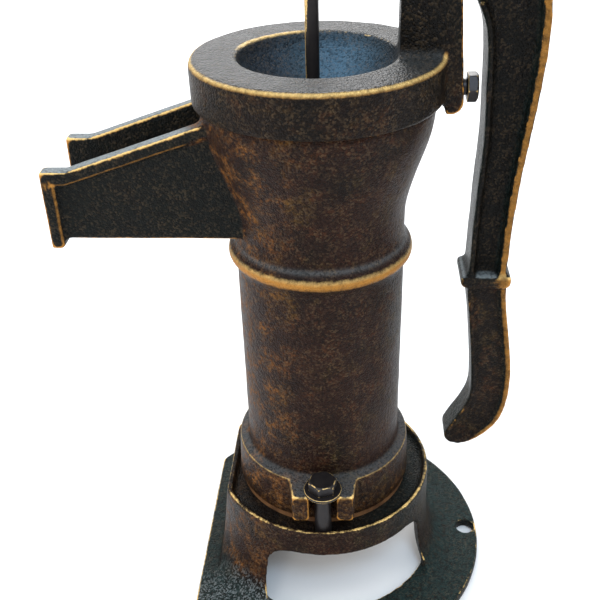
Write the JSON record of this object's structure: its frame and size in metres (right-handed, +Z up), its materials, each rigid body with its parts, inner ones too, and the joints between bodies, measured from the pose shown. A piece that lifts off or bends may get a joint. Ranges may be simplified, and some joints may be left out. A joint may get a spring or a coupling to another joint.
{
  "type": "hand well pump",
  "caption": "Pitcher-style cast iron hand pump: windowed base, flared barrel with open spout, bowl-top cap with handle post, pump rod and plunger.",
  "frame": {"origin": "on the barrel's axis, in the plane of the base's underside", "axes": "+Z up along the barrel; -X along the spout; +X towards the handle post; the handle and rod move in the XZ plane"},
  "size_m": [0.2449, 0.199, 0.4369],
  "materials": {
    "base_iron": "antique black-brown paint, edges rubbed with gold",
    "barrel_iron": "antique black-brown paint, edges rubbed with gold",
    "cap_iron": "antique black paint, band and lip rubbed with gold",
    "handle_iron": "antique black paint, rims rubbed with gold",
    "weight_iron": "bare casting",
    "bolt_steel": "blackened, lightly worn",
    "rod_steel": "blackened, gold rubbed",
    "brass": "dull machined brass",
    "leather": "oiled leather"
  },
  "bodies": {
    "stand": {"base": "base_iron", "barrel": "barrel_iron", "base_bolts": "bolt_steel", "base_washers": "bolt_steel", "base_leather": "leather"},
    "foot_valve": {"valve_leather": "leather", "valve_weight": "weight_iron", "valve_washer": "brass", "valve_screw": "brass"},
    "cap": {"cap": "cap_iron", "set_screw": "bolt_steel", "fulcrum_bolt": "bolt_steel", "fulcrum_nut": "bolt_steel", "fulcrum_washers": "bolt_steel"},
    "handle": {"handle": "handle_iron", "rod_pin": "bolt_steel", "rod_cotter": "bolt_steel"},
    "rod": {"rod": "rod_steel", "rod_button": "rod_steel"},
    "plunger": {"cage_cap": "brass", "plunger_cage": "brass", "cup_leather": "leather", "follower_ring": "brass", "follower_screws": "bolt_steel"},
    "plunger_valve": {"plunger_valve": "brass"}
  },
  "joints": [
    {"name": "cap_swivel", "type": "hinge", "parent": "stand", "child": "cap", "pos_m": [0, 0, 0.311], "axis": [0, 0, 1], "range_deg": [-135, 135]},
    {"name": "handle_pivot", "type": "hinge", "parent": "cap", "child": "handle", "pos_m": [0.0534, 0, 0.4], "axis": [0, -1, 0], "range_deg": [0, 60]},
    {"name": "rod_link", "type": "hinge", "parent": "handle", "child": "rod", "pos_m": [-0.0023, 0, 0.42597], "axis": [0, 1, 0], "range_deg": [0, 60]},
    {"name": "plunger_slide", "type": "slide", "parent": "stand", "child": "plunger", "axis": [0, 0, -1], "range_m": [0, 0.061]},
    {"name": "plunger_valve_lift", "type": "slide", "parent": "plunger", "child": "plunger_valve", "axis": [0, 0, 1], "range_m": [0, 0.008]},
    {"name": "foot_valve_fold", "type": "hinge", "parent": "stand", "child": "foot_valve", "pos_m": [0.034, 0, 0.0635], "axis": [0, 1, 0], "range_deg": [0, 20]}
  ],
  "couplings": [
    {"joint": "rod_link", "follows": "handle_pivot", "ratio": 1},
    {"joint": "plunger_slide", "follows": "handle_pivot", "m_per_rad": 0.05806}
  ]
}
